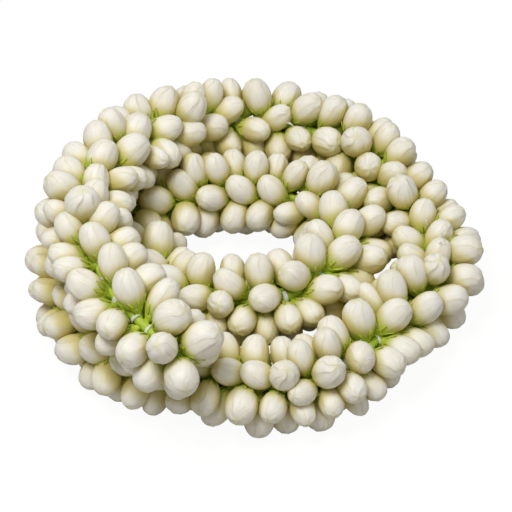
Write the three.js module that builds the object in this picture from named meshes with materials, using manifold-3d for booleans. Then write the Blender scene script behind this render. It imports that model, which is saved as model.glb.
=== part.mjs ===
// A coiled rope of closed jasmine buds, tied in whorls round one cotton thread. Millimetres, +Z up, resting on z = 0.
// The rope lies in a flat coil: a small inner loop, a turn on the ground round it, and an outer turn that climbs over
// the start of that turn on its way round the back and the left.
import * as THREE from "three";
import Module from "manifold-3d";

// Route of the thread, inner end first. Each point is the middle of the rope.
const ROUTE = [
  [-39, 10, 16], [-38, -2, 16], [-32, -11, 16], [-21, -16, 18], [-9, -18, 19], [2, -19, 20], [13, -16.5, 21],
  [23, -9, 21], [31, 3, 20], [32, 18, 18], [25, 30.5, 17.5], [14, 37, 17], [2, 39, 17], [-12, 41, 17], [-26, 38.5, 16.5],
  [-43, 34, 16], [-59, 22, 16], [-67, 4, 16], [-64, -16, 16], [-55, -33, 16], [-42, -43, 16], [-20, -47.5, 16],
  [-5, -52.5, 16], [9, -54.5, 16], [21, -52, 16], [33, -43, 16], [43, -32, 16], [53, -20, 16], [63, -9, 16],
  [66, 4, 17], [63, 15, 18], [58, 28, 18], [52, 37, 19], [47, 49, 20], [39, 59, 20.5], [28, 66, 21.5], [16, 70.5, 22],
  [3, 72.5, 23], [-11, 72.5, 25], [-24, 67, 28.5], [-35, 57, 33], [-46, 45, 37], [-54, 30, 40], [-59, 16, 42],
  [-61, 2, 43], [-59, -11, 43], [-55, -23, 43], [-49, -36, 42], [-43, -43, 41], [-36, -50, 39.5],
  [-30, -55, 37.5], [-24, -59, 35],
];
const OFFSET = [1.42, -7.23, -0.489]; // moves everything so that the finished part is centred and rests on z = 0

const WHORLS = 57;
// The buds lie in rows along the rope, on both sides of a seam where the stems show: degrees round from the seam.
const ROWS_ROUND = [-62, -102, -141, 180, 141, 102, 62];
const BUDS_IN_ROW = 64;
const REACH = 4.4; // the furthest that a bud is bound from the middle of its whorl
const SEAM_WAY = [0, -0.55, 0.83]; // the seam is laid turned up and a little to the front
const SEAM_OPEN = 0.58; // no bud of the rows leans further into the seam than this share
const STANDING = [[3, 12], [27, -8], [28, 14], [33, -14], [36, 8], [39, -10], [45, 12], [51, -12], [56, 6]];
// How far the buds lie over along the rope, from one whorl to the next that is listed.
const NAP = [[0, -0.1], [4, 0], [7, 0.2], [10, 0.2], [13, 0.3], [18, 0], [21, -0.4], [25, -0.3], [28, 0],
  [31, 0.25], [36, 0.15], [39, -0.15], [42, -0.4], [46, -0.5], [57, -0.5]];

const BUD_LENGTH = 15.4;
const BUD_RADIUS = 5.75;
const LENGTH_SPREAD = 1.1;
const RADIUS_SPREAD = 0.75;
const BASE_OUT = 2.4; // from the thread's middle to the bottom of the calyx
const ANGLE_SPREAD = 0.16;
const LEAN_SPREAD = 0.24;
const SHIFT_SPREAD = 0.8;
const MOST_LEAN = 0.7;
const BUD_SIDES = 5;

const THREAD_RADIUS = 1.0;
const COLLAR_BORE = 1.5;
const COLLAR_RADIUS = 3.0;
const KNOT_RADIUS = 1.9;
const TUBE_SIDES = 4;
const GAP = 0.32; // kept between neighbouring pieces

const SETTLE_ROUNDS = 90;
const THINNING = 0.95;
const THINNEST = 0.55;
const NEAR = 34;

// Balls along a bud's axis that stand for its bulk while the buds push each other aside: place and share of the radius.
const BALLS = [[0.32, 0.86], [0.5, 1.0], [0.68, 0.95], [0.84, 0.66], [0.97, 0.25]];

const wasm = await Module();
wasm.setup();

// A repeatable number from 0 to 1 for a pair of whole numbers.
function chance(a, b) {
  let h = (a * 7919 + b * 104729 + 12345) % 2147483647;
  h = (h * 48271) % 2147483647;
  h = (h * 48271) % 2147483647;
  h = (h * 48271) % 2147483647;
  return h / 2147483647;
}

function spread(a, b, size) {
  return (2 * chance(a, b) - 1) * size;
}

// ---- route -------------------------------------------------------------------------------------------------------

function smoothPoint(before, from, to, after, t) {
  return from.map((v, k) => {
    const c1 = to[k] - before[k];
    const c2 = 2 * before[k] - 5 * v + 4 * to[k] - after[k];
    const c3 = -before[k] + 3 * v - 3 * to[k] + after[k];
    return 0.5 * (2 * v + c1 * t + c2 * t * t + c3 * t * t * t);
  });
}

function smoothRoute(points, steps) {
  const first = points[0].map((v, k) => 2 * v - points[1][k]);
  const n = points.length;
  const last = points[n - 1].map((v, k) => 2 * v - points[n - 2][k]);
  const all = [first, ...points, last];
  const out = [];
  for (let i = 0; i < n - 1; i++) {
    for (let j = 0; j < steps; j++) {
      out.push(smoothPoint(all[i], all[i + 1], all[i + 2], all[i + 3], j / steps));
    }
  }
  out.push(points[n - 1]);
  return out.map((p) => new THREE.Vector3(p[0] + OFFSET[0], p[1] + OFFSET[1], p[2] + OFFSET[2]));
}

const path = smoothRoute(ROUTE, 16);
const run = [0];
for (let i = 1; i < path.length; i++) run.push(run[i - 1] + path[i].distanceTo(path[i - 1]));
const LENGTH = run[run.length - 1];

function at(s) {
  let i = 1;
  while (i < run.length - 1 && run[i] < s) i++;
  const t = (s - run[i - 1]) / (run[i] - run[i - 1]);
  return path[i - 1].clone().lerp(path[i], t);
}

// The thread bends only at the joints, between one whorl and the next.
const joints = [];
for (let k = 0; k <= WHORLS; k++) joints.push(at((k * LENGTH) / WHORLS));

function frame(centre, from, to) {
  const along = to.clone().sub(from).normalize();
  const side = new THREE.Vector3(0, 0, 1).cross(along).normalize();
  const up = along.clone().cross(side);
  return { at: centre, along, side, up };
}

function jointFrame(k) {
  return frame(joints[k], joints[Math.max(k - 1, 0)], joints[Math.min(k + 1, WHORLS)]);
}

function whorlFrame(w) {
  const middle = joints[w].clone().lerp(joints[w + 1], 0.5);
  return frame(middle, joints[w], joints[w + 1]);
}

// ---- where the buds go -------------------------------------------------------------------------------------------

function napAt(w) {
  let k = 1;
  while (k < NAP.length - 1 && NAP[k][0] < w) k++;
  const [from, a] = NAP[k - 1];
  const [to, b] = NAP[k];
  return a + ((b - a) * (w - from)) / (to - from);
}

// One bud: where it stands along the rope, and how far round from the seam.
function makeBud(id, distance, degrees, stands) {
  const w = Math.max(0, Math.min(WHORLS - 1, Math.floor((distance * WHORLS) / LENGTH)));
  const fromMiddle = distance - ((w + 0.5) * LENGTH) / WHORLS;
  const shift = Math.max(-REACH, Math.min(REACH, fromMiddle));
  const { at: middle, along } = whorlFrame(w);
  const seam = new THREE.Vector3(...SEAM_WAY);
  seam.addScaledVector(along, -seam.dot(along)).normalize();
  const across = along.clone().cross(seam);
  const turn = (degrees * Math.PI) / 180 + spread(id, 2, ANGLE_SPREAD);
  const dir = seam.clone().multiplyScalar(Math.cos(turn)).addScaledVector(across, Math.sin(turn));
  const base = middle.addScaledVector(along, shift).addScaledVector(dir, BASE_OUT);
  dir.addScaledVector(along, stands ? 0 : napAt(w) + spread(id, 3, LEAN_SPREAD)).normalize();
  const length = BUD_LENGTH + spread(id, 4, LENGTH_SPREAD);
  const radius = BUD_RADIUS + spread(id, 5, RADIUS_SPREAD);
  return { id, whorl: w, base, dir, home: dir.clone(), along, seam, stands, length, radius, slim: 1 };
}

function placeBuds() {
  const buds = [];
  const step = LENGTH / BUDS_IN_ROW;
  ROWS_ROUND.forEach((degrees, r) => {
    for (let j = 0; j < BUDS_IN_ROW; j++) {
      const id = r * 100 + j;
      buds.push(makeBud(id, (j + (r % 2 ? 0.25 : 0.75)) * step + spread(id, 1, SHIFT_SPREAD), degrees, false));
    }
  });
  STANDING.forEach(([w, degrees], k) => {
    buds.push(makeBud(900 + k, ((w + 0.5) * LENGTH) / WHORLS, degrees, true));
  });
  return buds;
}

function nearPairs(buds) {
  const pairs = [];
  for (let i = 0; i < buds.length; i++) {
    for (let j = i + 1; j < buds.length; j++) {
      if (buds[i].base.distanceTo(buds[j].base) < NEAR) pairs.push([i, j]);
    }
  }
  return pairs;
}

function ballsOf(bud) {
  return BALLS.map(([t, share]) => ({
    t,
    at: bud.base.clone().addScaledVector(bud.dir, t * bud.length),
    radius: share * bud.radius,
  }));
}

// The deepest place where two buds press into each other, or null.
function pressure(a, b) {
  let worst = null;
  for (const p of a) {
    for (const q of b) {
      const gap = p.at.distanceTo(q.at);
      const depth = p.radius + q.radius - gap;
      if (depth > 0 && (!worst || depth > worst.depth)) worst = { depth, gap, p, q };
    }
  }
  return worst;
}

// Keeps a bud from lying down along the thread, where it would run into the next whorl's stems.
function standUp(bud) {
  const lean = bud.dir.dot(bud.along);
  if (Math.abs(lean) <= MOST_LEAN) return;
  bud.dir.addScaledVector(bud.along, Math.sign(lean) * MOST_LEAN - lean).normalize();
}

// Keeps the seam open between the rows on both sides of it.
function openSeam(bud) {
  const over = bud.dir.dot(bud.seam) - SEAM_OPEN;
  if (bud.stands || over <= 0) return;
  bud.dir.addScaledVector(bud.seam, -over).normalize();
}

// Buds lean away from the neighbours and the ground they press on, a little each round.
function settle(buds, pairs) {
  for (let round = 0; round < SETTLE_ROUNDS; round++) {
    const balls = buds.map(ballsOf);
    const push = buds.map(() => new THREE.Vector3());
    for (const [i, j] of pairs) {
      const hit = pressure(balls[i], balls[j]);
      if (!hit) continue;
      const away = hit.p.at.clone().sub(hit.q.at).divideScalar(Math.max(hit.gap, 0.01));
      push[i].addScaledVector(away, (0.5 * hit.depth) / (hit.p.t * buds[i].length));
      push[j].addScaledVector(away, (-0.5 * hit.depth) / (hit.q.t * buds[j].length));
    }
    buds.forEach((bud, i) => {
      for (const ball of balls[i]) {
        const sunk = ball.radius + OFFSET[2] - ball.at.z;
        if (sunk > 0) push[i].z += sunk / (ball.t * bud.length);
      }
      bud.dir.addScaledVector(push[i], 0.6).normalize();
      bud.dir.addScaledVector(bud.home.clone().sub(bud.dir), bud.stands ? 0.15 : 0.02).normalize();
      openSeam(bud);
      standUp(bud);
    });
  }
}

// ---- solids ------------------------------------------------------------------------------------------------------

function solidFrom(points, faces) {
  return new wasm.Manifold(
    new wasm.Mesh({ numProp: 3, vertProperties: new Float32Array(points), triVerts: new Uint32Array(faces) }),
  );
}

function ring(centre, u, v, radius, sides, start) {
  const out = [];
  for (let k = 0; k < sides; k++) {
    const a = start + (k * 2 * Math.PI) / sides;
    const p = centre.clone().addScaledVector(u, radius * Math.cos(a)).addScaledVector(v, radius * Math.sin(a));
    out.push(p.x, p.y, p.z);
  }
  return out;
}

// A closed egg: a point in the collar, two rings and the tip.
function budSolid(bud, extra) {
  const dir = bud.dir;
  const guide = Math.abs(dir.z) < 0.9 ? new THREE.Vector3(0, 0, 1) : new THREE.Vector3(1, 0, 0);
  const u = guide.cross(dir).normalize();
  const v = dir.clone().cross(u);
  const radius = bud.radius * bud.slim + extra;
  const length = bud.length * (0.8 + 0.2 * bud.slim) + extra;
  const place = (t) => bud.base.clone().addScaledVector(dir, t * length);
  const n = BUD_SIDES;
  const root = place(-0.06);
  const tip = place(1);
  const points = [root.x, root.y, root.z];
  points.push(...ring(place(0.36), u, v, 0.93 * radius, n, 0));
  points.push(...ring(place(0.74), u, v, 0.86 * radius, n, Math.PI / n));
  points.push(tip.x, tip.y, tip.z);
  const faces = [];
  for (let k = 0; k < n; k++) {
    const a = 1 + k;
    const b = 1 + ((k + 1) % n);
    const c = 1 + n + k;
    const d = 1 + n + ((k + 1) % n);
    faces.push(0, b, a);
    faces.push(a, b, c);
    faces.push(b, d, c);
    faces.push(c, d, 1 + 2 * n);
  }
  return solidFrom(points, faces);
}

// A square-section tube through a list of frames, closed at both ends.
function tubeSolid(frames, radii) {
  const points = [];
  const n = TUBE_SIDES;
  frames.forEach((f, i) => points.push(...ring(f.at, f.side, f.up, radii[i], n, Math.PI / n)));
  const faces = [];
  for (let i = 0; i < frames.length - 1; i++) {
    for (let k = 0; k < n; k++) {
      const a = i * n + k;
      const b = i * n + ((k + 1) % n);
      faces.push(a, b, a + n);
      faces.push(b, b + n, a + n);
    }
  }
  const end = (frames.length - 1) * n;
  for (let k = 1; k < n - 1; k++) {
    faces.push(0, k + 1, k);
    faces.push(end, end + k, end + k + 1);
  }
  return solidFrom(points, faces);
}

function slid(f, distance) {
  return { ...f, at: f.at.clone().addScaledVector(f.along, distance) };
}

// The bore of one whorl, in which the thread runs.
function boreSolid(w) {
  const a = jointFrame(w);
  const b = jointFrame(w + 1);
  return tubeSolid([slid(a, -1), a, b, slid(b, 1)], [COLLAR_BORE, COLLAR_BORE, COLLAR_BORE, COLLAR_BORE]);
}

// The bound stems of one whorl: a sleeve on the thread, a gap short of its neighbours at both ends.
function collarSolid(w) {
  const body = tubeSolid([slid(jointFrame(w), GAP / 2), slid(jointFrame(w + 1), -GAP / 2)], [COLLAR_RADIUS, COLLAR_RADIUS]);
  return body.subtract(boreSolid(w));
}

// The thread, with a knot at each end that keeps the whorls on it.
function threadSolid() {
  const frames = [];
  for (let k = 0; k <= WHORLS; k++) frames.push(jointFrame(k));
  const first = frames[0];
  const last = frames[WHORLS];
  const knotted = [slid(first, -3.0), slid(first, -1.8), slid(first, -0.6), ...frames];
  knotted.push(slid(last, 0.6), slid(last, 1.8), slid(last, 3.0));
  const r = THREAD_RADIUS;
  const radii = [r, KNOT_RADIUS, r, ...frames.map(() => r), r, KNOT_RADIUS, r];
  return tubeSolid(knotted, radii);
}

// Turns a bud that touches the stems next door, or an end of the thread, back towards its own whorl.
function clearStems(buds, stems) {
  let moved = 0;
  for (const bud of buds) {
    const solid = budSolid(bud, GAP);
    for (const side of [-1, 1]) {
      const common = solid.intersect(stems[bud.whorl + 1 + side]);
      if (common.volume() > 1e-4) {
        bud.dir.addScaledVector(bud.along, -0.15 * side).normalize();
        moved++;
      }
      common.delete();
    }
    solid.delete();
  }
  return moved;
}

// Buds that would still touch get slimmer, pair by pair, until every gap is open.
function thin(buds, pairs) {
  const solids = buds.map((bud) => budSolid(bud, GAP / 2));
  const crowded = new Set();
  for (const [i, j] of pairs) {
    if (!pressure(ballsOf(buds[i]), ballsOf(buds[j]))) continue;
    const common = solids[i].intersect(solids[j]);
    if (common.volume() > 1e-4) {
      crowded.add(i);
      crowded.add(j);
    }
    common.delete();
  }
  solids.forEach((s) => s.delete());
  for (const i of crowded) buds[i].slim *= THINNING;
  return crowded.size;
}

function openGaps(buds, pairs) {
  const stems = [threadSolid()];
  for (let w = 0; w < WHORLS; w++) stems.push(collarSolid(w));
  stems.push(stems[0]);
  for (let round = 0; round < 16; round++) {
    const moved = clearStems(buds, stems);
    const crowded = thin(buds, pairs);
    if (moved + crowded === 0) return;
  }
}

function meshFrom(solid, name, colour) {
  const m = solid.getMesh();
  const points = [];
  for (let i = 0; i < m.numVert; i++) {
    points.push(...m.vertProperties.subarray(i * m.numProp, i * m.numProp + 3));
  }
  const geometry = new THREE.BufferGeometry();
  geometry.setAttribute("position", new THREE.Float32BufferAttribute(points, 3));
  geometry.setIndex([...m.triVerts]);
  const mesh = new THREE.Mesh(geometry, new THREE.MeshStandardMaterial({ color: colour }));
  mesh.name = name;
  return mesh;
}

// ---- the garland -------------------------------------------------------------------------------------------------

const buds = placeBuds();
const pairs = nearPairs(buds);
settle(buds, pairs);
openGaps(buds, pairs);
const kept = buds.filter((bud) => bud.slim > THINNEST);

const garland = new THREE.Group();
garland.name = "jasmine_garland";
for (let w = 0; w < WHORLS; w++) {
  let whorl = collarSolid(w);
  for (const bud of kept.filter((b) => b.whorl === w)) whorl = whorl.add(budSolid(bud, 0));
  whorl = whorl.subtract(boreSolid(w)); // no bud reaches through to the thread
  garland.add(meshFrom(whorl, "whorl_" + String(w + 1).padStart(2, "0"), 0xefe9da));
}
garland.add(meshFrom(threadSolid(), "cotton_thread", 0xf4f2ec));

export default garland;
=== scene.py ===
# %% [markdown]
# # A coiled rope of jasmine buds
# The object is a flower rope: closed jasmine buds bound in whorls round a cotton thread, laid down in a
# coil. The measured model gives the size and the place of every whorl. This lesson grows the living surface
# on it: petals that wrap each other, small green calyxes with pointed teeth, bound stems and the white
# thread.

# %% Load the measured model
import math

import bpy
import numpy as np
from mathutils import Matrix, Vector


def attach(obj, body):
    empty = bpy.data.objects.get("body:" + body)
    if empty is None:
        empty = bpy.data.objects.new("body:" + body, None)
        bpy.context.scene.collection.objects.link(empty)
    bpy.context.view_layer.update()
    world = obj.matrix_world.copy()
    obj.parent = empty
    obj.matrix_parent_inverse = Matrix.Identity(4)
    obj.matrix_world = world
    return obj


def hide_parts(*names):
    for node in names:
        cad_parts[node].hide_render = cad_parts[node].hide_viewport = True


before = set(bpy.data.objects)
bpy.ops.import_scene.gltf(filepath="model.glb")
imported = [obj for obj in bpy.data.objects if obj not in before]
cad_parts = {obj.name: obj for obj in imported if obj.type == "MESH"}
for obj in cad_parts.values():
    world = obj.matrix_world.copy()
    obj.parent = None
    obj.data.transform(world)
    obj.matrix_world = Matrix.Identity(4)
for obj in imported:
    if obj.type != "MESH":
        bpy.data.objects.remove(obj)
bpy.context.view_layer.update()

# %% [markdown]
# ## Camera, floor and light
# The coil is seen from the front and well above, through a long lens, so that near and far buds are almost
# the same size. The camera aims at a point inside the coil; everything else follows from the distance and
# the angle. The light is a big soft source high on the left, a weaker one on the right, and a bright white
# room, which keeps the gaps between the buds warm instead of black.

# %% Camera
MM = 0.001
LOOK_DOWN = math.radians(46.0)
DISTANCE = 0.65
FRAME_WIDTH = 0.1843  # width that the picture takes in at the aim point
AIM = Vector((0.0009, -0.0073, 0.0234))

camera_data = bpy.data.cameras.new("camera")
camera_data.sensor_width = 36.0
camera_data.lens = 36.0 * DISTANCE / FRAME_WIDTH
camera_data.clip_start = 0.05
camera = bpy.data.objects.new("camera", camera_data)
bpy.context.collection.objects.link(camera)
toward = Vector((0.0, math.cos(LOOK_DOWN), -math.sin(LOOK_DOWN)))
camera.location = AIM - toward * DISTANCE
camera.rotation_euler = toward.to_track_quat("-Z", "Y").to_euler()
bpy.context.scene.camera = camera
bpy.context.scene.view_settings.view_transform = "Standard"
print("camera lens", round(camera_data.lens, 1), "mm")

# %% Floor and lights
def soft_light(name, place, size, power, colour=(1.0, 1.0, 1.0)):
    data = bpy.data.lights.new(name, "AREA")
    data.shape = "DISK"
    data.size = size
    data.energy = power
    data.color = colour
    light = bpy.data.objects.new(name, data)
    light.location = place
    light.rotation_euler = (AIM - Vector(place)).to_track_quat("-Z", "Y").to_euler()
    bpy.context.collection.objects.link(light)
    return light


soft_light("key", (-0.22, -0.16, 0.80), 0.36, 4.6)
soft_light("fill", (0.55, -0.45, 0.50), 0.60, 0.5)
soft_light("back", (0.10, 0.60, 0.60), 0.50, 0.8)

world = bpy.data.worlds.new("room")
bpy.context.scene.world = world
world.use_nodes = True
world.node_tree.nodes["Background"].inputs["Color"].default_value = (1.0, 1.0, 1.0, 1.0)
world.node_tree.nodes["Background"].inputs["Strength"].default_value = 0.31

floor_mesh = bpy.data.meshes.new("floor")
floor_mesh.from_pydata([(-3, -3, 0), (3, -3, 0), (3, 3, 0), (-3, 3, 0)], [], [(0, 1, 2, 3)])
floor = bpy.data.objects.new("floor", floor_mesh)
floor.location.z = -0.0002
bpy.context.collection.objects.link(floor)
print("three soft lights and a floor")

# %% [markdown]
# ## Shader maths as plain expressions
# A material is a graph of small nodes. Written by hand, each sum needs three lines. The class below wraps
# one output socket, so that `1 - mask * 0.5` adds the Math nodes by itself. Colours go through Mix nodes,
# and every other node comes from one method that takes the type, its settings and its inputs.

# %% The wrapped socket
class Wire:
    """One output socket of a node, with the arithmetic that shaders need."""

    def __init__(self, tree, socket):
        self.tree = tree
        self.socket = socket

    def node(self, kind, settings=None, out=0, **inputs):
        """A new node: settings first, then the values or links of its sockets."""
        made = self.tree.nodes.new(kind)
        for name, value in (settings or {}).items():
            if name == "stops":
                ramp = made.color_ramp
                while len(ramp.elements) < len(value):
                    ramp.elements.new(0.5)
                for element, (place, colour) in zip(ramp.elements, value):
                    element.position = place
                    element.color = colour
            else:
                setattr(made, name, value)
        for name, value in inputs.items():
            key = int(name[1:]) if name[0] == "i" and name[1:].isdigit() else name.replace("_", " ")
            target = made.inputs[key]
            if isinstance(value, Wire):
                self.tree.links.new(value.socket, target)
            else:
                target.default_value = value
        return Wire(self.tree, made.outputs[out])

    def math(self, operation, *others, clamp=False):
        inputs = {"i0": self}
        for k, other in enumerate(others):
            inputs[f"i{k + 1}"] = other
        return self.node("ShaderNodeMath", {"operation": operation, "use_clamp": clamp}, **inputs)

    def __add__(self, other):
        return self.math("ADD", other)

    __radd__ = __add__

    def __mul__(self, other):
        return self.math("MULTIPLY", other)

    __rmul__ = __mul__

    def __sub__(self, other):
        return self.math("SUBTRACT", other)

    def __rsub__(self, other):
        return self.node("ShaderNodeMath", {"operation": "SUBTRACT"}, i0=other, i1=self)

    def __truediv__(self, other):
        return self.math("DIVIDE", other)

    def __pow__(self, other):
        return self.math("POWER", other)

    def ramp(self, low, high, soft=True):
        """0 below low, 1 above high, eased between."""
        kind = "SMOOTHSTEP" if soft else "LINEAR"
        settings = {"interpolation_type": kind}
        return self.node("ShaderNodeMapRange", settings, Value=self, i1=low, i2=high, i3=0.0, i4=1.0)

    def blend(self, first, second):
        """A colour between two colours, with this value as the mask."""
        settings = {"data_type": "RGBA", "blend_type": "MIX"}
        made = self.node("ShaderNodeMix", settings, out=2, i0=self)
        mix = made.socket.node
        for key, colour in ((6, first), (7, second)):
            if isinstance(colour, Wire):
                self.tree.links.new(colour.socket, mix.inputs[key])
            else:
                mix.inputs[key].default_value = (*colour, 1.0)
        return made


def paint(name, **constants):
    """A new material; returns it, its main shader node and a first wire to build on."""
    material = bpy.data.materials.new(name)
    material.use_nodes = True
    tree = material.node_tree
    shader = tree.nodes["Principled BSDF"]
    for key, value in constants.items():
        shader.inputs[key.replace("_", " ")].default_value = value
    start = tree.nodes.new("ShaderNodeTexCoord")
    return material, shader, Wire(tree, start.outputs["Object"])


def named(wire, name):
    """A value stored on the mesh's points."""
    return wire.node("ShaderNodeAttribute", {"attribute_name": name}, out=2)


def grain(wire, where, scale, detail=2.0, roughness=0.5):
    return wire.node("ShaderNodeTexNoise", Vector=where, Scale=scale, Detail=detail, Roughness=roughness)


def connect(wire, socket):
    wire.tree.links.new(wire.socket, socket)


def bumpy(wire, height, strength, distance):
    return wire.node("ShaderNodeBump", Height=height, Strength=strength, Distance=distance)


# The floor is lit from inside as a light table is, so that it stays white, and only the deepest shadows
# show on it.
floor_paint, floor_shader, at = paint("pale_floor", Base_Color=(0.50, 0.48, 0.43, 1.0), Roughness=0.9)
glow = at.node("ShaderNodeEmission", Color=(1.0, 1.0, 1.0, 1.0), Strength=1.10)
seen = at.node("ShaderNodeLightPath", out=0)
matt = Wire(at.tree, floor_shader.outputs[0])
floor_look = at.node("ShaderNodeMixShader", i0=seen * 0.86, i1=matt, i2=glow)
connect(floor_look, at.tree.nodes["Material Output"].inputs["Surface"])
floor_mesh.materials.append(floor_paint)

# The camera sees a white room past the edge of the floor, while the room's light on the buds stays soft.
room = world.node_tree
room_light = room.nodes["Background"]
room_seen = room.nodes.new("ShaderNodeBackground")
room_ray = room.nodes.new("ShaderNodeLightPath")
room_mix = room.nodes.new("ShaderNodeMixShader")
room.links.new(room_ray.outputs[0], room_mix.inputs[0])
room.links.new(room_light.outputs[0], room_mix.inputs[1])
room.links.new(room_seen.outputs[0], room_mix.inputs[2])
room.links.new(room_mix.outputs[0], room.nodes["World Output"].inputs["Surface"])
room_seen.inputs["Color"].default_value = (1.0, 1.0, 1.0, 1.0)
print("shader helpers ready")

# %% [markdown]
# ## Where the rope runs
# The rope's route is a given list of points, the same that shaped the measured model. A smooth curve
# goes through them, and equal steps along it give the joints between one whorl and the next.

# %% The route
ROUTE = [
    (-39, 10, 16), (-38, -2, 16), (-32, -11, 16), (-21, -16, 18), (-9, -18, 19), (2, -19, 20),
    (13, -16.5, 21), (23, -9, 21), (31, 3, 20), (32, 18, 18), (25, 30.5, 17.5), (14, 37, 17),
    (2, 39, 17), (-12, 41, 17), (-26, 38.5, 16.5), (-43, 34, 16), (-59, 22, 16), (-67, 4, 16),
    (-64, -16, 16), (-55, -33, 16), (-42, -43, 16), (-20, -47.5, 16), (-5, -52.5, 16), (9, -54.5, 16),
    (21, -52, 16), (33, -43, 16), (43, -32, 16), (53, -20, 16), (63, -9, 16), (66, 4, 17),
    (63, 15, 18), (58, 28, 18), (52, 37, 19), (47, 49, 20), (39, 59, 20.5), (28, 66, 21.5),
    (16, 70.5, 22), (3, 72.5, 23), (-11, 72.5, 25), (-24, 67, 28.5), (-35, 57, 33), (-46, 45, 37),
    (-54, 30, 40), (-59, 16, 42), (-61, 2, 43), (-59, -11, 43), (-55, -23, 43), (-49, -36, 42),
    (-43, -43, 41), (-36, -50, 39.5), (-30, -55, 37.5), (-24, -59, 35),
]
OFFSET = np.array([1.42, -7.23, -0.489])
WHORLS = 57


def smooth_route(points, steps=16):
    p = np.array(points, float)
    p = np.vstack([2 * p[0] - p[1], p, 2 * p[-1] - p[-2]])
    out = []
    for a, b, c, d in zip(p, p[1:], p[2:], p[3:]):
        for j in range(steps):
            t = j / steps
            c1, c2, c3 = c - a, 2 * a - 5 * b + 4 * c - d, -a + 3 * b - 3 * c + d
            out.append(0.5 * (2 * b + c1 * t + c2 * t * t + c3 * t * t * t))
    out.append(p[-2])
    return np.array(out) + OFFSET


path = smooth_route(ROUTE)
run = np.concatenate([[0.0], np.cumsum(np.linalg.norm(np.diff(path, axis=0), axis=1))])
marks = np.arange(WHORLS + 1) * run[-1] / WHORLS
joints = np.stack([np.interp(marks, run, path[:, k]) for k in range(3)], 1)
print("rope length", round(run[-1]), "mm, one whorl every", round(run[-1] / WHORLS, 2), "mm")

# %% [markdown]
# ## Where each bud sits
# About eight buds fan out round the thread in every whorl. The rope has a seam: the stems are tied along
# one line, and the buds lie down to both sides of it, row by row, each row half a step on from the last.
# The seam is laid turned up and a little to the front. On each stretch the buds also lie over along the
# rope, as a nap does, and in a few whorls one bud stands straight up in the seam. Real buds then push each
# other aside. That is done with a few balls along each bud: wherever two press, both turn away a little,
# over and over, and the lowest ones turn up from the floor. What is still pressed at the end makes a bud
# slimmer. All chance comes from a small repeatable generator, so every run is the same.

# %% The lie of the buds
ROWS_ROUND = [-62, -102, -141, 180, 141, 102, 62]  # degrees from the seam
BUDS_IN_ROW = 64
REACH = 4.4
BUD_LENGTH, LENGTH_SPREAD = 15.4, 1.1
BUD_RADIUS, RADIUS_SPREAD = 5.75, 0.75
BASE_OUT = 2.4
ANGLE_SPREAD, LEAN_SPREAD, SHIFT_SPREAD, MOST_LEAN = 0.16, 0.24, 0.8, 0.7
SEAM_WAY = np.array([0.0, -0.55, 0.83])
SEAM_OPEN = 0.58
NAP = [(0, -0.1), (4, 0.0), (7, 0.2), (10, 0.2), (13, 0.3), (18, 0.0), (21, -0.4), (25, -0.3), (28, 0.0),
       (31, 0.25), (36, 0.15), (39, -0.15), (42, -0.4), (46, -0.5), (57, -0.5)]
STANDING = [(3, 12), (27, -8), (28, 14), (33, -14), (36, 8), (39, -10), (45, 12), (51, -12), (56, 6)]
BALLS = np.array([(0.32, 0.86), (0.5, 1.0), (0.68, 0.95), (0.84, 0.66), (0.97, 0.25)])


def chance(a, b):
    h = (a * 7919 + b * 104729 + 12345) % 2147483647
    for _ in range(3):
        h = (h * 48271) % 2147483647
    return h / 2147483647


def spread(a, b, size):
    return (2 * chance(a, b) - 1) * size


def unit(v):
    return v / np.linalg.norm(v, axis=-1, keepdims=True)


def whorl_frame(w):
    """Middle of the whorl, the way of the rope, the seam's way and the way across."""
    along = unit(joints[w + 1] - joints[w])
    seam = unit(SEAM_WAY - along * (SEAM_WAY @ along))
    return (joints[w] + joints[w + 1]) / 2, along, seam, np.cross(along, seam)


def make_bud(i, distance, degrees, stands):
    """One bud: where it stands along the rope, and how far round from the seam."""
    w = min(max(int(distance * WHORLS // run[-1]), 0), WHORLS - 1)
    shift = np.clip(distance - (w + 0.5) * run[-1] / WHORLS, -REACH, REACH)
    middle, along, seam, across = whorl_frame(w)
    turn = math.radians(degrees) + spread(i, 2, ANGLE_SPREAD)
    out = seam * math.cos(turn) + across * math.sin(turn)
    base = middle + along * shift + out * BASE_OUT
    lie = 0 if stands else float(np.interp(w, *zip(*NAP))) + spread(i, 3, LEAN_SPREAD)
    length = BUD_LENGTH + spread(i, 4, LENGTH_SPREAD)
    thick = BUD_RADIUS + spread(i, 5, RADIUS_SPREAD)
    return w, base, unit(out + along * lie), along, seam, length, thick, stands


def place_buds():
    made = []
    step = run[-1] / BUDS_IN_ROW
    for r, degrees in enumerate(ROWS_ROUND):
        for j in range(BUDS_IN_ROW):
            i = r * 100 + j
            place = (j + (0.25 if r % 2 else 0.75)) * step + spread(i, 1, SHIFT_SPREAD)
            made.append(make_bud(i, place, degrees, False))
    for k, (w, degrees) in enumerate(STANDING):
        made.append(make_bud(900 + k, (w + 0.5) * run[-1] / WHORLS, degrees, True))
    return [np.array(column) for column in zip(*made)]


def pressing(base, aim, length, radius, first, second):
    """For each pair, the depth, the direction and the two places where they press the most."""
    t, share = BALLS[:, 0], BALLS[:, 1]
    centres = base[:, None] + aim[:, None] * (length[:, None] * t)[..., None]
    sizes = radius[:, None] * share
    apart = centres[first][:, :, None] - centres[second][:, None]
    gap = np.linalg.norm(apart, axis=-1)
    depth = (sizes[first][:, :, None] + sizes[second][:, None] - gap).reshape(len(first), -1)
    worst = depth.argmax(1)
    row = np.arange(len(first))
    gap = np.maximum(gap.reshape(len(first), -1)[row, worst], 0.01)
    away = apart.reshape(len(first), -1, 3)[row, worst] / gap[:, None]
    n = len(BALLS)
    return depth[row, worst], away, t[worst // n], t[worst % n], centres, sizes


print(len(ROWS_ROUND), "rows of", BUDS_IN_ROW, "buds, and", len(STANDING), "standing in the seam")

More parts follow.
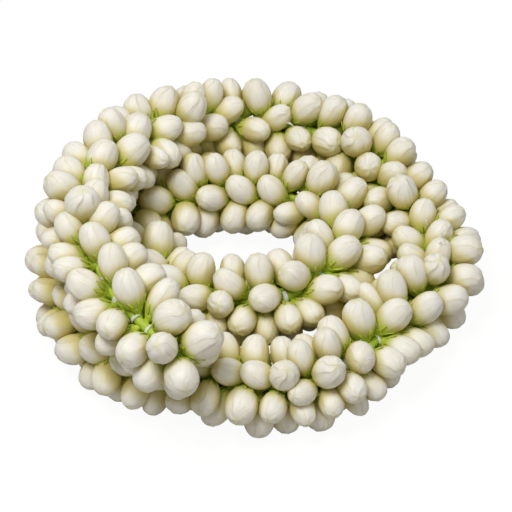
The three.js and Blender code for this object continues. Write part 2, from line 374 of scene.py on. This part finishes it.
# %% Settling
SETTLE_ROUNDS = 90
NEAR = 34.0  # mm between two buds' bases, beyond which they can't touch
HOLD_ROW, HOLD_STANDING = 0.02, 0.15  # how strongly a bud is drawn back to the way it was set
TURN_SHARE = 0.6  # share of each push that a bud gives way to in one round
EASY_SQUEEZE = 0.3  # mm of press that a bud takes without getting slimmer
SLIMMING = 0.22  # share of the rest that slims it
whorl_of, base, aim, thread_way, seam_way, length, radius, stands = place_buds()
home = aim.copy()
hold = np.where(stands, HOLD_STANDING, HOLD_ROW)[:, None]
first, second = np.triu_indices(len(base), 1)
near = np.linalg.norm(base[first] - base[second], axis=1) < NEAR
first, second = first[near], second[near]


def limit(aim, way, least, most, where):
    """Turns the buds in where, so that their share along way stays between least and most."""
    lean = (aim * way).sum(1)
    held = np.clip(lean, least, most)
    over = where & (held != lean)
    return np.where(over[:, None], unit(aim + way * (held - lean)[:, None]), aim)


for _ in range(SETTLE_ROUNDS):
    depth, away, ta, tb, centres, sizes = pressing(base, aim, length, radius, first, second)
    hit = depth > 0
    push = np.zeros_like(aim)
    np.add.at(push, first[hit], away[hit] * (0.5 * depth / (ta * length[first]))[hit, None])
    np.add.at(push, second[hit], -away[hit] * (0.5 * depth / (tb * length[second]))[hit, None])
    sunk = np.maximum(sizes + OFFSET[2] - centres[..., 2], 0)
    push[:, 2] += (sunk / (BALLS[:, 0] * length[:, None])).sum(1)
    aim = unit(aim + TURN_SHARE * push)
    aim = unit(aim + hold * (home - aim))
    aim = limit(aim, seam_way, -2, SEAM_OPEN, ~stands)
    aim = limit(aim, thread_way, -MOST_LEAN, MOST_LEAN, True)
depth = np.maximum(pressing(base, aim, length, radius, first, second)[0], 0)
squeeze = np.zeros(len(base))
np.maximum.at(squeeze, first, depth)
np.maximum.at(squeeze, second, depth)
slim = 1 - SLIMMING * np.maximum(squeeze - EASY_SQUEEZE, 0) / radius
print(len(base), "buds; deepest press left", round(depth.max(), 2), "mm; slimmest", round(slim.min(), 2))

# %% [markdown]
# ## The shape of one bud
# A closed jasmine bud is an egg of overlapping petals. Each petal covers the next along one edge, and the
# edges wind gently from the calyx to the tip, where they fold into a small nipple. The egg is made as a net
# of rows from base to tip. Its columns follow the petal edges, two of them close together at every edge, so
# that the step from one petal down to the next is real shape and stays crisp. Each bud gets its own petals,
# twist, bend and oval section.

# %% Bud outline and petal net
PROFILE_T = [0.0, 0.05, 0.10, 0.16, 0.24, 0.33, 0.43, 0.53, 0.62,
             0.71, 0.79, 0.86, 0.91, 0.945, 0.97, 0.99, 1.0]
PROFILE_R = [0.24, 0.34, 0.46, 0.60, 0.76, 0.89, 0.97, 1.00, 0.99,
             0.94, 0.86, 0.75, 0.62, 0.49, 0.35, 0.19, 0.05]
ROWS = np.array([0.0, 0.06, 0.12, 0.18, 0.25, 0.32, 0.40, 0.48, 0.56, 0.64, 0.71, 0.78, 0.84, 0.88, 0.915,
                 0.945, 0.967, 0.983, 0.994, 1.0])
PETALS = 6
ACROSS = np.array([0.0, 0.30, 0.60, 0.85, 0.965])


def outline(t):
    return np.interp(t, PROFILE_T, PROFILE_R)


def ease(x, low, high):
    k = np.clip((x - low) / (high - low), 0, 1)
    return k * k * (3 - 2 * k)


# The outline is a list of straight steps: a running average rounds it off, less and less towards both ends.
fine = np.linspace(0, 1, 401)
smoothed = np.convolve(np.pad(outline(fine), 12, mode="edge"), np.ones(25) / 25, mode="valid")
keep = ease(fine, 0.0, 0.06) * (1 - ease(fine, 0.84, 0.93))
smoothed = smoothed * keep + outline(fine) * (1 - keep)


def egg(t):
    return np.interp(t, fine, smoothed)


def side_frame(way):
    guide = np.where(np.abs(way[2]) < 0.9, [0.0, 0.0, 1.0], [1.0, 0.0, 0.0])
    u = unit(np.cross(guide, way))
    return u, np.cross(way, u)


def bud_style(i):
    """What makes bud i itself: petal turns, twist, oval section, bend and how far its petals stand off."""
    return {
        "open": i in OPEN_BUDS,
        "turn": chance(i, 11) * 2 * math.pi,
        "twist": 0.1 + 0.4 * chance(i, 12),
        "oval": spread(i, 13, 0.045),
        "bend": spread(i, 14, 0.05),
        "bend_turn": chance(i, 15) * 2 * math.pi,
        "step": 0.008 + 0.016 * chance(i, 16) ** 2,
        "nipple": 0.6 + 0.8 * chance(i, 17),
    }


# The buds that stand in the seam are the ripest, and so are a few others: their petals have begun to part.
OPEN_SHARE = 0.05
OPEN_BUDS = {i for i in range(len(base)) if stands[i] or chance(i, 51) < OPEN_SHARE}
radius = np.array([radius[i] * (1.06 if i in OPEN_BUDS else 1.0) for i in range(len(base))])


def on_bud(i, t, angle, lift=0.0):
    """Points on the egg of bud i, at a share t of its length and an angle round it, lift mm off its skin."""
    s = bud_style(i)
    u, v = side_frame(aim[i])
    r = egg(t) * radius[i] * slim[i] + lift
    x = r * np.cos(angle) * (1 + s["oval"])
    y = r * np.sin(angle) * (1 - s["oval"])
    bow = s["bend"] * length[i] * (4 * t * (1 - t))
    x = x + bow * math.cos(s["bend_turn"])
    y = y + bow * math.sin(s["bend_turn"])
    return base[i] + aim[i] * (t * length[i])[..., None] + u * x[..., None] + v * y[..., None]


def bud_net(i):
    """Corner points of the corolla of bud i, with the values its material reads."""
    s = bud_style(i)
    t = np.repeat(ROWS[:, None], PETALS * len(ACROSS), 1)
    columns = []
    for p in range(PETALS):
        here, there = (edge_angle(i, s, q, ROWS) for q in (p, p + 1))
        for a in ACROSS:
            columns.append(here + (there - here) * a)
    angle = np.stack(columns, 1)
    across = np.tile(ACROSS, PETALS)[None, :] + 0 * t
    edge = np.tile([1.0, 0.0, 0.0, 0.15, 1.0], PETALS)[None, :] + 0 * t
    petal = np.repeat(np.arange(PETALS), len(ACROSS))
    # Every petal rises from its covered side to its free edge, more so towards the tip.
    height = s["step"] * (1.0 + 0.5 * np.sin(petal * 2.4 + i))
    open_up = float(s["open"])
    rise = (height + 0.024 * open_up) * (0.15 + 0.85 * ease(t, 0.35, 0.85))
    crown = 0.014 * np.sin(across * math.pi) * ease(t, 0.1, 0.5)
    swell = rise * (np.minimum(across, 0.9) - 0.5) + crown
    fold = 0.20 * s["nipple"] * np.sin(angle * 5 + i) * ease(t, 0.90 - 0.04 * open_up, 0.985)
    base_r = egg(t) * radius[i] * slim[i]
    ribs = 0.010 * np.sin(angle * 7 + 6 * chance(i, 18))
    ribs = ribs + 0.007 * np.sin(angle * 12 + 6 * chance(i, 19) + 2 * t)
    ribs = ribs * ease(t, 0.25, 0.7) * (1 + 0.6 * open_up)
    lift = base_r * ((swell + ribs) * ease(t, 0.02, 0.2) + fold)
    return on_bud(i, t, angle, lift), t, across, petal, edge


def edge_angle(i, s, petal, t):
    """The angle of a petal's edge at each row: it wanders a little and winds faster at the tip."""
    k = petal % PETALS
    wander = 0.26 * spread(i * 7 + k, 21, 1.0) + 0.07 * np.sin(5 * t + 6 * chance(i * 7 + k, 22))
    wind = s["twist"] * t + 0.45 * ease(t, 0.82, 1.0)
    return s["turn"] + 2 * math.pi * petal / PETALS + wander + wind


print("one corolla:", len(ROWS), "rows of", PETALS * len(ACROSS), "points")

# %% [markdown]
# ## Deep and open places: painted shade
# Light that reaches the middle of the rope has passed through petals, so skin deep between the buds looks
# warm and olive, and skin that faces the sky stays ivory. That shade is painted into the petals' base colour.
# How much of its sky a point has lost is worked out once, from the balls along the neighbouring buds: each
# ball hides a share of the sky that falls with the square of its distance.

# %% How much sky each point has lost
near_buds = [[] for _ in base]
for a, b in zip(first, second):
    near_buds[a].append(b)
    near_buds[b].append(a)
ball_places = base[:, None] + aim[:, None] * (length[:, None] * BALLS[:, 0])[..., None]
ball_sizes = (radius * slim)[:, None] * BALLS[:, 1]


def lost_sky(i, points, facing):
    """0 in the open, towards 1 where neighbours and the floor hide most of what the point faces."""
    others = np.array(near_buds[i])
    centres = ball_places[others][:, ::2].reshape(-1, 3)
    sizes = ball_sizes[others][:, ::2].ravel()
    to = centres[None] - points[:, None]
    far = np.maximum(np.linalg.norm(to, axis=-1), sizes[None] * 1.02)
    facing_it = np.einsum("ijk,ik->ij", to, facing) / far
    hidden = (np.maximum(facing_it, 0) * (sizes[None] / far) ** 2).sum(1)
    floor_part = np.maximum(-facing[:, 2], 0) * np.clip(1 - (points[:, 2] - OFFSET[2]) / 40, 0, 1)
    return 1 - np.exp(-1.1 * (hidden + 0.6 * floor_part))


def net_facing(net, middle):
    """Outward direction at each point of a closed net round an axis, from its neighbours."""
    round_way = np.roll(net, -1, 1) - np.roll(net, 1, 1)
    up_way = np.gradient(net, axis=0)
    way = np.cross(round_way, up_way)
    size = np.linalg.norm(way, axis=-1, keepdims=True)
    out = unit(net - middle + 1e-9)
    way = np.where(size > 1e-6, way / np.maximum(size, 1e-9), out)
    return way * np.sign((way * out).sum(-1, keepdims=True) + 1e-9)


print("sky measured from", ball_places.shape[0] * 3, "balls")

# %% Meshes from nets
def net_faces(rows, columns, closed=True):
    r, c = np.meshgrid(np.arange(rows - 1), np.arange(columns if closed else columns - 1), indexing="ij")
    d = (c + 1) % columns
    low, high = r * columns, (r + 1) * columns
    return np.stack([low + c, low + d, high + d, high + c], -1).reshape(-1, 4)


def closed_faces(rows, columns, start):
    """A net's faces with both ends shut by rings folded into four-cornered faces."""
    out = [net_faces(rows, columns)]
    for row, flip in ((0, True), (rows - 1, False)):
        ring = np.arange(columns) + row * columns
        for k in range(0, columns // 2 - 1):
            quad = [ring[k], ring[k + 1], ring[columns - 2 - k], ring[columns - 1 - k]]
            out.append(np.array([quad[::-1] if flip else quad]))
    return np.vstack(out) + start


def mesh_object(name, points, faces, values, material):
    """An object from points in mm, four-cornered faces and named values on the points."""
    mesh = bpy.data.meshes.new(name)
    mesh.vertices.add(len(points))
    mesh.vertices.foreach_set("co", (np.asarray(points) * MM).astype(np.float32).ravel())
    faces = np.asarray(faces)
    mesh.loops.add(faces.size)
    mesh.loops.foreach_set("vertex_index", faces.ravel().astype(np.int32))
    mesh.polygons.add(len(faces))
    mesh.polygons.foreach_set("loop_start", np.arange(0, faces.size, faces.shape[1], dtype=np.int32))
    for key, value in values.items():
        layer = mesh.attributes.new(key, "FLOAT", "POINT")
        layer.data.foreach_set("value", np.asarray(value, np.float32).ravel())
    mesh.update(calc_edges=True)
    mesh.validate()
    mesh.shade_smooth()
    mesh.materials.append(material)
    made = bpy.data.objects.new(name, mesh)
    bpy.context.collection.objects.link(made)
    return made


def belongs(piece, node):
    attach(piece, "root")
    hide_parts(node)
    return piece


print("mesh helpers ready")

# %% [markdown]
# ## Petal skin
# A jasmine petal is waxy and lets light through. Its colour is a warm ivory, a little different from bud to
# bud. Fine veins run from base to tip. Low down the green of the calyx shines through and fades upwards
# along the veins, and the folded tip is faintly green-yellow. The skin scatters light under its surface,
# which is set as a constant. Shade is painted into the colour as well: warm olive where a point has lost its
# sky, and brown along the petal edges towards the tip, partly the real brownish rim and partly painted shade
# in the crease under each overlapping edge.

# %% Petal material
petal_paint, petal_shader, at = paint(
    "ivory_petal",
    Subsurface_Weight=0.30,
    Subsurface_Radius=(1.0, 0.75, 0.4),
    Subsurface_Scale=0.0025,
    Specular_IOR_Level=0.45,
)
up_bud = named(at, "along")
petal_edge = named(at, "edge")
bud_tone = named(at, "tone")
bud_turn = named(at, "round")
vein_place = at.node("ShaderNodeCombineXYZ", X=bud_turn * 42.0, Y=up_bud * 2.4, Z=bud_tone * 57.0)
veins = grain(at, vein_place, 1.0, 3.0, 0.6)
cloud_place = at.node("ShaderNodeCombineXYZ", X=bud_turn * 3.0, Y=up_bud * 4.0, Z=bud_tone * 31.0)
clouds = grain(at, cloud_place, 1.0, 2.0, 0.5)

ivory = clouds.ramp(0.35, 0.7).blend((0.88, 0.85, 0.78), (0.83, 0.79, 0.69))
ivory = (bud_tone * 0.5).blend(ivory, (0.86, 0.825, 0.72))
vein_mask = veins.ramp(0.48, 0.70) * 0.42
ivory = vein_mask.blend(ivory, (0.70, 0.69, 0.50))
# Brown along both sides of each petal edge towards the tip: partly the real brownish rim of the free edge,
# partly painted crease shade at the foot of the step under it.
rim_and_crease_shade = petal_edge.ramp(0.75, 1.0) * up_bud.ramp(0.45, 0.95) * clouds.ramp(0.25, 0.6) * 0.55
ivory = rim_and_crease_shade.blend(ivory, (0.66, 0.57, 0.34))
# Painted shade: skin that has lost its sky is painted warm beige, and where it is deeper still, olive, in the
# base colour.
deep = named(at, "deep")
ivory = (deep.ramp(0.12, 0.60) * 0.45).blend(ivory, (0.80, 0.74, 0.50))
ivory = (deep.ramp(0.36, 0.95) * 0.88).blend(ivory, (0.60, 0.51, 0.13))
base_reach = 1.0 - (up_bud + (veins - 0.5) * 0.30).ramp(0.12, 0.50)
green_base = (base_reach * (0.70 + bud_tone * 0.30)).blend(ivory, (0.55, 0.62, 0.07))
tip_mask = up_bud.ramp(0.955, 0.995) * 0.45
skin = tip_mask.blend(green_base, (0.74, 0.72, 0.42))
connect(skin, petal_shader.inputs["Base Color"])
connect(0.40 + clouds * 0.16, petal_shader.inputs["Roughness"])
connect(bumpy(at, veins, 0.60, 0.0003), petal_shader.inputs["Normal"])
print("petal material:", len(petal_paint.node_tree.nodes), "nodes")

# %% Green material
green_paint, green_shader, at = paint(
    "calyx_green",
    Subsurface_Weight=0.12,
    Subsurface_Radius=(0.6, 1.0, 0.3),
    Subsurface_Scale=0.0012,
)
up_tooth = named(at, "along")
bud_tone = named(at, "tone")
speck = grain(at, at, 900.0, 3.0, 0.6)
green = speck.ramp(0.35, 0.7).blend((0.46, 0.58, 0.035), (0.64, 0.73, 0.09))
green = (bud_tone * 0.6).blend(green, (0.56, 0.65, 0.05))
green = (1.0 - up_tooth.ramp(0.0, 0.25)).blend(green, (0.36, 0.50, 0.04))
rust = (up_tooth + (speck - 0.5) * 0.3).ramp(0.75, 1.05) * bud_tone.ramp(0.35, 0.8) * 0.85
green = rust.blend(green, (0.36, 0.20, 0.05))
connect(green, green_shader.inputs["Base Color"])
connect(0.45 + speck * 0.2, green_shader.inputs["Roughness"])
connect(bumpy(at, speck, 0.3, 0.0002), green_shader.inputs["Normal"])
print("green material:", len(green_paint.node_tree.nodes), "nodes")

# %% Corollas, one object for each whorl
faces_one = closed_faces(len(ROWS), PETALS * len(ACROSS), 0)
for w in range(WHORLS):
    points, faces, values = [], [], {"along": [], "edge": [], "tone": [], "round": [], "deep": []}
    count = 0
    for i in np.flatnonzero(whorl_of == w):
        net, t, across, petal, edge = bud_net(i)
        points.append(net.reshape(-1, 3))
        facing = net_facing(net, base[i] + aim[i] * length[i] * 0.5)
        # Painted shade: the share of sky each point has lost is stored on it, for the petal colour.
        values["deep"].append(lost_sky(i, points[-1], facing.reshape(-1, 3)))
        faces.append(faces_one + count)
        count += t.size
        values["along"].append(t.ravel())
        values["edge"].append(edge.ravel())
        values["tone"].append(np.full(t.size, chance(i, 31)))
        values["round"].append((((petal[None, :] + across) / PETALS) + 0 * t).ravel())
    values = {k: np.concatenate(v) for k, v in values.items()}
    piece = mesh_object(f"whorl_{w + 1:02d}_buds", np.vstack(points), np.vstack(faces), values, petal_paint)
    belongs(piece, f"whorl_{w + 1:02d}")
print("corollas made for", WHORLS, "whorls")

# %% [markdown]
# ## Calyxes and stems
# Under every corolla sits a green cup that ends in seven or eight narrow pointed teeth, which clasp the
# ivory skin. The cup runs down into a short stem. Cup and stem are one turned net, and each tooth is a thin
# solid sliver that follows the egg and lifts off it a little at the point.

# %% Calyx shape
CUP_T = np.array([-0.16, -0.10, -0.05, 0.0, 0.035, 0.07, 0.10, 0.125])
CUP_SIDES = 12
TEETH = 8


def cup_net(i):
    t = np.repeat(CUP_T[:, None], CUP_SIDES, 1)
    angle = np.repeat(2 * math.pi * np.arange(CUP_SIDES)[None, :] / CUP_SIDES, len(CUP_T), 0)
    stem = 1.05 + 0.12 * np.sin(angle * 3 + i)
    skin_r = egg(np.clip(t, 0, 1)) * radius[i] * slim[i]
    want = np.where(t < 0, stem, np.maximum(skin_r + 0.28, stem))
    want = np.where(t > 0.12, skin_r - 0.02, want)
    return on_bud(i, t, angle, want - skin_r), t


def tooth_net(i, k):
    reach = 0.18 + 0.18 * chance(i * 9 + k, 41)
    lift_tip = 0.10 + 0.45 * chance(i * 9 + k, 42) ** 2
    middle = 2 * math.pi * (k + spread(i * 9 + k, 43, 0.18)) / TEETH
    up = np.array([0.0, 0.35, 0.7, 1.0])
    wide = 0.44 * np.array([1.0, 0.70, 0.38, 0.05]) * 2 * math.pi / TEETH
    t = 0.085 + reach * up
    ring = []
    for side, off in ((-1, 0.02), (0, 0.26), (1, 0.02), (0, -0.08)):
        ring.append(on_bud(i, t, middle + side * wide, off + lift_tip * up**2))
    return np.stack(ring, 1), np.repeat(up[:, None], 4, 1)


for w in range(WHORLS):
    points, faces, tone, along_values = [], [], [], []
    count = 0
    for i in np.flatnonzero(whorl_of == w):
        nets = [cup_net(i)]
        nets[0] = (nets[0][0], 0.25 + 0.5 * ease(nets[0][1], -0.1, 0.12) - 0.25 * (nets[0][1] < 0))
        nets += [(n, 0.5 + 0.5 * up) for n, up in (tooth_net(i, k) for k in range(TEETH))]
        for net, value in nets:
            rows, columns = net.shape[:2]
            points.append(net.reshape(-1, 3))
            faces.append(closed_faces(rows, columns, count))
            tone.append(np.full(rows * columns, chance(i, 31)))
            along_values.append(value.ravel())
            count += rows * columns
    values = {"tone": np.concatenate(tone), "along": np.concatenate(along_values)}
    name = f"whorl_{w + 1:02d}_calyxes"
    piece = mesh_object(name, np.vstack(points), np.vstack(faces), values, green_paint)
    belongs(piece, f"whorl_{w + 1:02d}")
print("calyxes made for", WHORLS, "whorls")

# %% [markdown]
# ## Bound stems and thread
# The stems of all the buds run together along the middle of the rope, as a knobbly green cord. A white
# cotton thread of two twisted strands is wound round them at every whorl and pulled tight, so that only
# short white bits show deep in the seam. At both ends of the rope the thread is knotted. Each strand is a
# tube net along its own line, which is easier to place than a curve object with a bevel.

# %% Cotton
cotton_paint, cotton_shader, at = paint("white_cotton", Roughness=0.85, Sheen_Weight=0.3)
fuzz = grain(at, at, 2500.0, 3.0, 0.6)
connect(fuzz.ramp(0.3, 0.7).blend((0.74, 0.76, 0.74), (0.90, 0.91, 0.90)), cotton_shader.inputs["Base Color"])
connect(bumpy(at, fuzz, 0.5, 0.0002), cotton_shader.inputs["Normal"])


def tube_net(line, size, sides=8):
    """Rings round a line of points, carried along without turning."""
    line = np.asarray(line, float)
    way = unit(np.gradient(line, axis=0))
    u = unit(np.cross(way[0], [0.3, 0.2, 0.9]))
    rings = []
    for k, (p, d) in enumerate(zip(line, way)):
        u = unit(u - d * (u @ d))
        v = np.cross(d, u)
        a = 2 * math.pi * np.arange(sides) / sides
        r = size[k] if np.ndim(size) else size
        rings.append(p + r * (np.cos(a)[:, None] * u + np.sin(a)[:, None] * v))
    return np.stack(rings)


def joined(nets):
    """Several closed nets as one set of points and faces."""
    points, faces, count = [], [], 0
    for net in nets:
        rows, columns = net.shape[:2]
        points.append(net.reshape(-1, 3))
        faces.append(closed_faces(rows, columns, count))
        count += rows * columns
    return np.vstack(points), np.vstack(faces)


def strands(line, size, turns, apart):
    """Two strands laid round each other along a line."""
    line = np.asarray(line, float)
    way = unit(np.gradient(line, axis=0))
    u = unit(np.cross(way, [0.31, 0.22, 0.92]))
    v = np.cross(way, u)
    a = 2 * math.pi * turns * np.linspace(0, 1, len(line))
    nets = []
    for start in (0, math.pi):
        off = np.cos(a + start)[:, None] * u + np.sin(a + start)[:, None] * v
        nets.append(tube_net(line + off * apart, size, 6))
    return nets


print("cotton ready")

# %% Stems and wraps of each whorl
for w in range(WHORLS):
    middle, along, seam, across = whorl_frame(w)
    half = run[-1] / WHORLS / 2
    line = [middle + along * half * k / 6 for k in range(-6, 7)]
    knobs = [1.55 + 0.35 * chance(w * 13 + k, 61) for k in range(13)]
    points, faces = joined([tube_net(line, knobs, 10)])
    values = {"tone": np.full(len(points), chance(w, 62)), "along": np.full(len(points), 0.12)}
    stems = mesh_object(f"whorl_{w + 1:02d}_stems", points, faces, values, green_paint)
    belongs(stems, f"whorl_{w + 1:02d}")

    wraps = []
    for k in range(2):
        place = middle + along * spread(w * 5 + k, 63, 3.5)
        tilt = spread(w * 5 + k, 64, 0.35)
        a = np.linspace(0, 2 * math.pi * 2.6, 58)
        coil = np.linspace(-0.50, 0.50, 58)[:, None] * along
        ring = 2.05 * (np.cos(a)[:, None] * seam + np.sin(a)[:, None] * across)
        wraps.append(tube_net(place + ring + coil + (np.sin(a) * tilt)[:, None] * along, 0.19, 6))
    points, faces = joined(wraps)
    binding = mesh_object(f"whorl_{w + 1:02d}_binding", points, faces, {}, cotton_paint)
    belongs(binding, f"whorl_{w + 1:02d}")
print("stems and bindings made for", WHORLS, "whorls")

# %% [markdown]
# ## Loose ends
# Where a new length of thread was tied in, short frayed bits stick out of the seam. Each is a few thin
# tubes that rise between the buds, lie over and curl a little. A tuft stands at the right of the coil, and
# single bits along the front.

# %% Loose ends
# Loose bits of thread that show: whorl, height over the rope's middle, shift along the rope and across it,
# in mm.
LOOSE_ENDS = [(25, 11.0, 2.0, -3.0), (26, 11.5, 3.0, -4.0), (27, 12.0, -1.0, -5.0), (28, 11.0, -1.0, -4.0),
              (34, 13.5, -1.0, 2.0), (34, 14.5, 1.0, 3.0), (35, 12.5, -2.0, 1.0), (41, 10.0, 0.0, -2.0)]


def loose_end(k, w, height, shift, lay):
    """A short frayed end: two thin strands that rise out of the seam and lie over."""
    middle, along, seam, across = whorl_frame(w)
    out = []
    for j in range(3):
        root = middle + seam * (height - 7) + across * lay * 0.4 + along * shift
        tip = middle + seam * height + across * (lay + spread(k * 5 + j, 71, 1.6))
        tip = tip + along * (shift + spread(k * 5 + j, 72, 3.4))
        bow = seam * (2.0 + chance(k * 5 + j, 73))
        a = np.linspace(0, 1, 14)[:, None]
        line = root * (1 - a) + tip * a + bow * (4 * a * (1 - a)) * 0.6
        curl = 0.25 * np.sin(9 * a + k + j) * across + 0.2 * np.cos(7 * a + 2 * j) * along
        out.append(tube_net(line + curl, 0.30 - 0.16 * np.linspace(0, 1, 14) ** 2, 6))
    return out


print(len(LOOSE_ENDS), "loose bits of thread")

# %% The thread itself and its knots
def end_line(point, way, rise, size=3.2):
    return [point + way * size * k / 6 + np.array([0, 0, rise]) * (k / 6) ** 2 for k in range(7)]


def knot(point, way):
    """An overhand knot: one strand wound over itself."""
    u = unit(np.cross(way, [0.2, 0.3, 0.9]))
    v = np.cross(way, u)
    a = np.linspace(0, 2 * math.pi * 2.25, 60)
    r = 1.15 + 0.35 * np.cos(2.4 * a)
    line = point + (r * np.cos(a))[:, None] * u + (r * np.sin(a))[:, None] * v
    line = line + (0.75 * np.sin(1.7 * a))[:, None] * way
    return tube_net(line, 0.42, 7)


first_way = unit(joints[0] - joints[1])
last_way = unit(joints[-1] - joints[-2])
nets = strands(path[::2], 0.42, run[-1] / 3.2, 0.36)
for k, (w, height, shift, lay) in enumerate(LOOSE_ENDS):
    nets += loose_end(k, w, height, shift, lay)
for end, way in ((joints[0], first_way), (joints[-1], last_way)):
    nets += strands(end_line(end, way, 0.0), 0.42, 2, 0.36) + [knot(end + way * 1.8, way)]
points, faces = joined(nets)
thread = mesh_object("twisted_thread", points, faces, {}, cotton_paint)
belongs(thread, "cotton_thread")
print("thread made,", len(faces), "faces")
